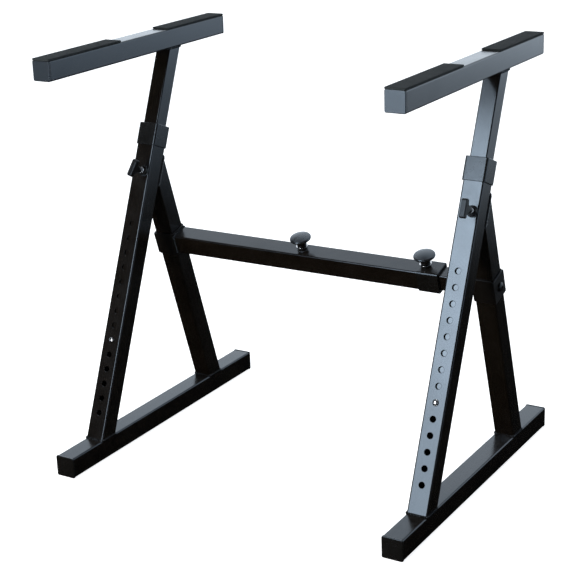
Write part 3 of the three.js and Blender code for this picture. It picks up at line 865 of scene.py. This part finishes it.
def bracketPart(name, shape, way, space, body, node):
    # A plate with the bolt's hole in it
    piece = makeObject(name, shape)
    reach = half + bracket["gap"] + bracket["plate"] + stand["overrun"]
    combine(piece, [rod("way", stand["screwHole"], 0.0, reach, way)])
    addBevel(piece, bracket["edge"], segments=2, angle=50)
    settle(piece)
    piece.data.transform(space)
    finishPiece(piece, "bracket", body, node)


def buildBracket(side):
    space, body, across = bracketSpace(side), side + "_frame", turnAbout("Y", quarter)
    inner, high = half + bracket["gap"], bracket["height"] / 2
    outer = inner + bracket["plate"]
    flat, bend = half - stand["tubeCorner"], stand["tubeCorner"] + bracket["gap"]
    loop = [(-half, -outer)] + arcPoints((flat, -flat), bend + bracket["plate"], -90, 0, 8)
    loop += arcPoints((flat, flat), bend + bracket["plate"], 0, 90, 8) + [(-half, outer), (-half, inner)]
    loop += arcPoints((flat, flat), bend, 90, 0, 8) + arcPoints((flat, -flat), bend, 0, -90, 8)
    cradle = raised(loop + [(-half, -inner)], -high, high)
    bracketPart(side + "Cradle", cradle, across, space, body, side + "_bracket_cradle")
    plate = raised(plateLoop(2 * high, 2 * outer, bracket["corner"], steps=6), inner, outer)
    facing = space @ turnAbout("Y", -quarter)
    bracketPart(side + "BracketPlate", plate, Matrix.Identity(4), facing, body, side + "_bracket_plate")
    buildBracketBolt(side, space @ across, outer)
    # The right bead leaves room for the crossbar's collar at the least width
    reach = outer + bracket["play"] - bracket["beadSunk"][side]
    loop = squareLoop(*(frameTube if side == "left" else mastTube), steps=4)
    seam = [space @ Vector((reach, u, v)) for u, v in loop]
    weldAlong(side + "CrossbarWeld", seam, body, bracket["bead"][side])


def buildBracketBolt(side, space, outer):
    seat, radius, rim = -outer - bracket["play"], bracket["headRadius"], bracket["headRim"]
    crown, tip = seat - bracket["headHeight"], outer + bracket["past"]
    profile = [(0, crown)]
    for step in range(1, 9):
        share = math.sin(step / 8 * quarter)
        sag = (bracket["headHeight"] - rim) * (1 - math.sqrt(1 - share * share))
        profile.append((radius * share, crown + sag))
    profile += [(radius, seat), (thread["radius"], seat), (thread["radius"], tip), (0, tip)]
    bolt = makeObject(side + "BracketBolt", turned(profile))
    start, end = crown - stand["overrun"], crown + bracket["socketDepth"]
    combine(bolt, [rod("socket", bracket["socket"], start, end, steps=6)])
    bolt.data.transform(space)
    finishPiece(bolt, "bracket", side + "_frame", side + "_bracket_bolt")


# Crossbar with its two locks

lock = {"bossRadius": 0.008, "bossHeight": 0.005, "washerRadius": 0.01, "washerLow": 0.0065,
        "washerHigh": 0.0081, "washerEdge": 0.0004, "hubLow": 0.0086, "hubRadius": 0.008, "hubEdge": 0.0008,
        "hubHigh": 0.02, "radius": 0.018, "rim": 0.0052, "crown": 0.003, "edge": 0.0024, "tip": -0.00275,
        "inKnob": 0.012, "socketGap": 0.0003, "places": {"middle": -0.0305, "end": 0.1985}}


def buildCrossbar():
    space, reach, ends = barSpace() @ turnAbout("Y", quarter), stand["overrun"], stand["crossbarEnd"]
    outer = tubeBetween(space, *frameTube, -ends, stand["outerTubeEnd"])
    tube = makeObject("crossbarOuterTube", outer, space)
    places = [barSpace() @ moveBy(x, 0, half) for x in lock["places"].values()]
    combine(tube, [rod("way", stand["screwHole"], -reach, reach, place) for place in places])
    finishPiece(tube, "coat", "left_frame", "crossbar_outer_tube")
    inner = tubeBetween(space, *mastTube, stand["innerTubeStart"], ends)
    tube = makeObject("crossbarInnerTube", inner, space)
    finishPiece(tube, "coat", "right_frame", "crossbar_inner_tube")


def washerProfile():
    bore, radius, edge = thread["bore"], lock["washerRadius"], lock["washerEdge"]
    low, high = lock["washerLow"], lock["washerHigh"]
    profile = [(bore, low), (radius - edge, low)] + arcPoints((radius - edge, low + edge), edge, -60, 0, 3)
    return profile + arcPoints((radius - edge, high - edge), edge, 0, 90, 3) + [(bore, high), (bore, low)]


def knobProfile():
    bore, low, edge, hubEdge = thread["bore"], lock["hubLow"], lock["edge"], lock["hubEdge"]
    top, high = low + lock["inKnob"] + lock["socketGap"], lock["hubHigh"] + lock["rim"]
    reach = lock["radius"] - edge
    profile = [(0, top), (bore, top), (bore, low)]
    profile += arcPoints((lock["hubRadius"] - hubEdge, low + hubEdge), hubEdge, -90, 0, 4)
    profile += arcPoints((lock["hubRadius"] + edge, lock["hubHigh"] - edge), edge, 180, 90, 5)
    profile += arcPoints((reach, lock["hubHigh"] + edge), edge, -90, 0, 6)
    profile += arcPoints((reach, high - edge), edge, 0, 80, 6)
    for step in range(1, 9):
        share = 1 - step / 8
        profile.append((reach * share, high + lock["crown"] * (1 - share * share)))
    return profile


def buildLock(label):
    space, body = barSpace() @ moveBy(lock["places"][label], 0, half), label + "_lock"
    name = label + "Lock"
    weldedNut(name + "Boss", lock["bossRadius"], lock["bossHeight"], space, "left_frame", body + "_boss")
    screw = threadedRod(lock["tip"], lock["hubLow"] + lock["inKnob"])
    finishPiece(makeObject(name + "Screw", screw, space), "chrome", body, body + "_screw")
    washer = makeObject(name + "Washer", turned(washerProfile(), steps=64), space)
    finishPiece(washer, "chrome", body, body + "_washer")
    knob = makeObject(name + "Knob", turned(knobProfile(), steps=72), space)
    finishPiece(knob, "knob", body, body + "_knob", sharp=40)


def dressHiddenPieces():
    # CAD nodes take their slot's finish: those that no piece replaces stay, inside other pieces
    slots = {row["node"]: row["material_slot"] for row in frame["record"]["subparts"]}
    for name, node in frame["nodes"].items():
        node.data.materials.clear()
        node.data.materials.append(finishes[slots[name]])


# Floor: evenly white to the lens; the paint mirrors it dark near the stand and bright further out

floor = {"size": 30.0, "color": (0.93, 0.93, 0.93), "rough": 0.9, "gleam": 0.1, "lift": 0.8,
         "near": (1.15, 2.3), "nearGlow": 0.8, "nearPower": 2.0, "far": (3.6, 4.4), "farGlow": 1.4,
         "glowColor": (0.78, 0.89, 1.0)}


def floorInputs(tree):
    ray = addNode(tree, "ShaderNodeLightPath").outputs
    place = addNode(tree, "ShaderNodeTexCoord").outputs["Object"]
    away = addNode(tree, "ShaderNodeVectorMath", place, operation="LENGTH").outputs["Value"]
    rise = maths(tree, "POWER", remap(tree, away, 0, 1, *floor["near"]), floor["nearPower"])
    outer = remap(tree, away, 0, floor["farGlow"], *floor["far"])
    rings = maths(tree, "MULTIPLY_ADD", rise, floor["nearGlow"], outer)
    lift = remap(tree, ray["Is Camera Ray"], 0, floor["lift"])
    return {"Base Color": mixColor(tree, ray["Is Glossy Ray"], floor["color"], (0.0, 0.0, 0.0)),
            "Roughness": floor["rough"], "Specular IOR Level": floor["gleam"],
            "Emission Color": mixColor(tree, ray["Is Glossy Ray"], (1.0, 1.0, 1.0), floor["glowColor"]),
            "Emission Strength": maths(tree, "MULTIPLY_ADD", rings, ray["Is Glossy Ray"], lift)}


def buildStage():
    shape = bmesh.new()
    bmesh.ops.create_grid(shape, x_segments=1, y_segments=1, size=floor["size"])
    piece = makeObject("studioFloor", shape)
    piece.data.materials.append(makeMaterial("paleFloor", floorInputs))


# Camera at the photograph's angle

view = {"place": (1.21529, -2.01714, 1.08794), "yaw": math.radians(31.696), "pitch": math.radians(18.596),
        "roll": math.radians(-2.026), "focalPixels": 1513.3, "imagePixels": 572, "sensor": 36.0, "far": 100}


def buildCamera():
    yaw, pitch, roll = view["yaw"], view["pitch"], view["roll"]
    back = Vector((math.sin(yaw) * math.cos(pitch), -math.cos(yaw) * math.cos(pitch), math.sin(pitch)))
    across = Vector((math.cos(yaw), math.sin(yaw), 0))
    above = back.cross(across)
    right = across * math.cos(roll) + above * math.sin(roll)
    top = above * math.cos(roll) - across * math.sin(roll)
    data = bpy.data.cameras.new("photoCamera")
    data.sensor_width = view["sensor"]
    data.lens = view["focalPixels"] / view["imagePixels"] * view["sensor"]
    data.clip_end = view["far"]
    camera = addObject("photoCamera", data)
    camera.matrix_world = moveBy(*view["place"]) @ Matrix((right, top, back)).transposed().to_4x4()
    bpy.context.scene.camera = camera


lights = {
    "frontBox": {"place": (-0.56, -2.25, 1.46), "aim": (0.2, -0.1, 0.45), "size": (0.9, 0.88), "power": 38},
    "lowBox": {"place": (-0.5, -2.25, 0.5), "aim": (0.2, -0.1, 0.4), "size": (0.9, 0.95), "power": 25},
    "topBox": {"place": (-1.1, 1.2, 2.9), "aim": (-0.5, 0.1, 0.0), "size": (2.8, 2.4), "power": 16},
}


def buildLights():
    for name, light in lights.items():
        data = bpy.data.lights.new(name, "AREA")
        data.shape = "RECTANGLE"
        data.size, data.size_y = light["size"]
        data.energy = light["power"]
        lamp = addObject(name, data)
        lamp.location = light["place"]
        aim = Vector(light["aim"]) - Vector(light["place"])
        lamp.rotation_euler = aim.to_track_quat("-Z", "Y").to_euler()
        lamp.visible_camera = False


# Room: bright behind the stand, dim behind the camera, softer overhead

room = {"front": 0.01, "back": 1.9, "depth": (-0.3, 0.5), "level": 1.0, "overhead": 0.4,
        "height": (0.15, 0.8), "color": (0.82, 0.91, 1.0)}


def buildRoom():
    world = bpy.data.worlds.new("studio")
    world.use_nodes = True
    tree = world.node_tree
    direction = addNode(tree, "ShaderNodeTexCoord").outputs["Generated"]
    split = addNode(tree, "ShaderNodeSeparateXYZ", direction).outputs
    depth = remap(tree, split["Y"], room["front"], room["back"], *room["depth"])
    height = remap(tree, split["Z"], room["level"], room["overhead"], *room["height"])
    sky = tree.nodes["Background"].inputs
    feed(tree, maths(tree, "MULTIPLY", depth, height), sky["Strength"])
    feed(tree, (*room["color"], 1), sky["Color"])
    bpy.context.scene.world = world
    bpy.context.scene.view_settings.view_transform = "Standard"


dressHiddenPieces()
for side in sides:
    buildFoot(side)
    buildUpright(side)
    buildBrace(side)
    buildMast(side)
    buildArm(side)
    buildPads(side)
    buildCollar(side)
    buildClamp(side)
    buildButton(side)
    buildSpring(side)
    buildBracket(side)
    print(side, "frame built")
buildCrossbar()
buildBarCollar()
for label in lock["places"]:
    buildLock(label)
print("crossbar built")
buildStage()
buildCamera()
buildLights()
buildRoom()
print("stage, camera and lights set")
